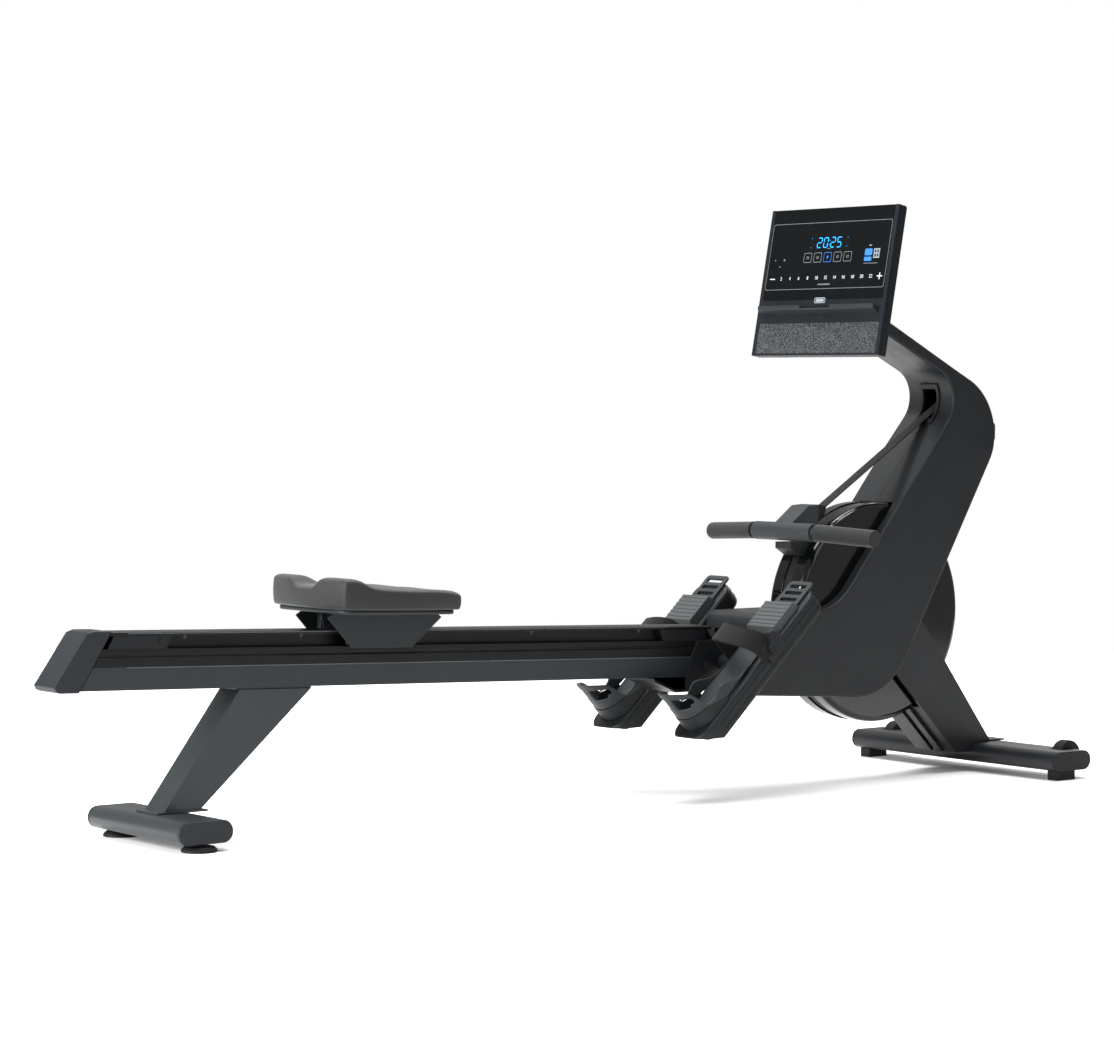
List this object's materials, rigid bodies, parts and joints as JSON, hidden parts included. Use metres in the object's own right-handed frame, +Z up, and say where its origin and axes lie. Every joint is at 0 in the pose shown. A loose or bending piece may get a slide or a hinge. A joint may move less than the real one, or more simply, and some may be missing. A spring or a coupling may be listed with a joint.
{
  "type": "rowing machine",
  "caption": "Folding magnetic rowing machine with a sloping seat rail, flywheel tower, strap-driven handlebar, footrests and a tilting console.",
  "frame": {"origin": "on the floor, under the middle of the machine's length and width", "axes": "+X towards the flywheel end, +Y to the left of someone facing it, +Z up"},
  "size_m": [2.1831, 0.568, 1.1108],
  "materials": {
    "frame_paint": "satin charcoal powder coat",
    "beam_paint": "satin grey paint",
    "track": "black anodised",
    "tower_plastic": "fine-grained satin",
    "housing_gloss": "polished black",
    "dark_trim": "matt black",
    "pedal_grey": "grey moulded plastic",
    "rubber_black": "matt rubber",
    "webbing": "woven webbing",
    "belt_rubber": "ribbed belt",
    "steel": "machined",
    "cast": "cast and turned",
    "grip_foam": "soft foam grip",
    "sleeve_plastic": "satin",
    "seat_foam": "moulded foam skin",
    "console_shell": "satin",
    "console_face": "printed film",
    "display": "tinted window",
    "electronics": "circuit board",
    "speaker_cloth": "heather speckle"
  },
  "bodies": {
    "frame": {"main_frame": "frame_paint", "tower_shell_left": "tower_plastic", "tower_shell_right": "tower_plastic", "strap_port_bezel": "dark_trim", "knee_bumper": "rubber_black", "front_leg": "frame_paint", "front_bar": "frame_paint", "front_bar_caps": "tower_plastic", "front_feet": "rubber_black", "flywheel_housing_left": "housing_gloss", "flywheel_housing_right": "housing_gloss", "flywheel_housing_band": "dark_trim", "handle_cradle": "dark_trim", "shaft_bearings": "steel", "drive_belt": "belt_rubber", "drive_strap": "webbing", "resistance_motor": "steel", "pedal_bases": "dark_trim", "pedal_covers": "pedal_grey", "foot_straps": "webbing"},
    "rail": {"rail_track": "track", "rail_beam": "beam_paint", "rail_end_cap": "tower_plastic", "rail_stop_blocks": "track", "rear_leg": "frame_paint", "rear_bar": "frame_paint", "rear_bar_caps": "tower_plastic"},
    "foot_right": {"levelling_foot_right": "rubber_black"},
    "foot_left": {"levelling_foot_left": "rubber_black"},
    "seat": {"seat_pad": "seat_foam", "seat_pan": "tower_plastic", "seat_skirts": "tower_plastic", "seat_carriage": "steel"},
    "rollers_rear": {"seat_rollers_rear": "rubber_black"},
    "rollers_front": {"seat_rollers_front": "rubber_black"},
    "handle": {"handlebar_tube": "steel", "handlebar_grips": "grip_foam", "handlebar_sleeve": "sleeve_plastic", "strap_socket": "dark_trim"},
    "lock_knob": {"fold_lock_knob": "dark_trim"},
    "flywheel": {"flywheel": "cast", "flywheel_shaft": "steel"},
    "pulley": {"drive_pulley": "steel"},
    "drum": {"strap_drum": "steel"},
    "guide_roller": {"strap_guide_roller": "steel"},
    "brake": {"brake_arm": "steel"},
    "console": {"console_back": "console_shell", "console_front": "console_shell", "console_overlay": "console_face", "display_window": "display", "console_electronics": "electronics", "speaker_fabric": "speaker_cloth", "tablet_ledge": "dark_trim", "console_tilt_bracket": "dark_trim"},
    "heel_right": {"heel_plate_right": "pedal_grey"},
    "heel_left": {"heel_plate_left": "pedal_grey"},
    "buckle_right": {"buckle_cam_right": "dark_trim"},
    "buckle_left": {"buckle_cam_left": "dark_trim"},
    "wheel_right": {"transport_wheel_right": "rubber_black"},
    "wheel_left": {"transport_wheel_left": "rubber_black"}
  },
  "joints": [
    {"name": "rail_fold", "type": "hinge", "parent": "frame", "child": "rail", "pos_m": [0.3015, 0, 0.2406], "axis": [0, -1, 0], "range_deg": [-80, 0]},
    {"name": "fold_lock", "type": "slide", "parent": "frame", "child": "lock_knob", "axis": [0, -1, 0], "range_m": [0, 0.01]},
    {"name": "seat_slide", "type": "slide", "parent": "rail", "child": "seat", "axis": [0.9995, 0, -0.032], "range_m": [-0.34, 0.57]},
    {"name": "rear_roller_spin", "type": "hinge", "parent": "seat", "child": "rollers_rear", "pos_m": [-0.49922, 0, 0.32561], "axis": [0, 1, 0], "continuous": true},
    {"name": "front_roller_spin", "type": "hinge", "parent": "seat", "child": "rollers_front", "pos_m": [-0.40927, 0, 0.32274], "axis": [0, 1, 0], "continuous": true},
    {"name": "foot_right_level", "type": "slide", "parent": "rail", "child": "foot_right", "axis": [0, 0, -1], "range_m": [0, 0.006]},
    {"name": "foot_left_level", "type": "slide", "parent": "rail", "child": "foot_left", "axis": [0, 0, -1], "range_m": [0, 0.006]},
    {"name": "handle_pull", "type": "slide", "parent": "frame", "child": "handle", "axis": [-0.9962, 0, 0.0866], "range_m": [0, 0.9], "stiffness_N_per_m": 12, "springref_m": -0.6, "deforming": ["drive_strap"]},
    {"name": "guide_spin", "type": "hinge", "parent": "frame", "child": "guide_roller", "pos_m": [0.9485, 0, 0.722], "axis": [0, 1, 0], "continuous": true},
    {"name": "drum_spin", "type": "hinge", "parent": "frame", "child": "drum", "pos_m": [0.8715, 0, 0.545], "axis": [0, 1, 0], "continuous": true},
    {"name": "flywheel_spin", "type": "hinge", "parent": "frame", "child": "flywheel", "pos_m": [0.7385, 0, 0.326], "axis": [0, 1, 0], "continuous": true},
    {"name": "pulley_spin", "type": "hinge", "parent": "frame", "child": "pulley", "pos_m": [0.8715, 0, 0.545], "axis": [0, 1, 0], "continuous": true},
    {"name": "brake_swing", "type": "hinge", "parent": "frame", "child": "brake", "pos_m": [0.89872, 0, 0.2335], "axis": [0, 1, 0], "range_deg": [0, 4]},
    {"name": "console_tilt", "type": "hinge", "parent": "frame", "child": "console", "pos_m": [0.6715, 0, 0.905], "axis": [0, 1, 0], "range_deg": [-12, 12]},
    {"name": "buckle_right_flip", "type": "hinge", "parent": "frame", "child": "buckle_right", "pos_m": [0.34321, -0.174, 0.28221], "axis": [0, 1, 0], "range_deg": [0, 70]},
    {"name": "buckle_left_flip", "type": "hinge", "parent": "frame", "child": "buckle_left", "pos_m": [0.34321, 0.174, 0.28221], "axis": [0, 1, 0], "range_deg": [0, 70]},
    {"name": "heel_right_slide", "type": "slide", "parent": "frame", "child": "heel_right", "axis": [0.7314, 0, 0.682], "range_m": [-0.034, 0.034]},
    {"name": "heel_left_slide", "type": "slide", "parent": "frame", "child": "heel_left", "axis": [0.7314, 0, 0.682], "range_m": [-0.034, 0.034]},
    {"name": "wheel_right_spin", "type": "hinge", "parent": "frame", "child": "wheel_right", "pos_m": [1.0615, -0.236, 0.043], "axis": [0, 1, 0], "continuous": true},
    {"name": "wheel_left_spin", "type": "hinge", "parent": "frame", "child": "wheel_left", "pos_m": [1.0615, 0.236, 0.043], "axis": [0, 1, 0], "continuous": true}
  ],
  "couplings": [
    {"joint": "rear_roller_spin", "follows": "seat_slide", "rad_per_m": 100},
    {"joint": "front_roller_spin", "follows": "seat_slide", "rad_per_m": 100},
    {"joint": "guide_spin", "follows": "handle_pull", "rad_per_m": -75.19},
    {"joint": "drum_spin", "follows": "handle_pull", "rad_per_m": -34.13},
    {"joint": "pulley_spin", "follows": "flywheel_spin", "ratio": 0.33333}
  ]
}
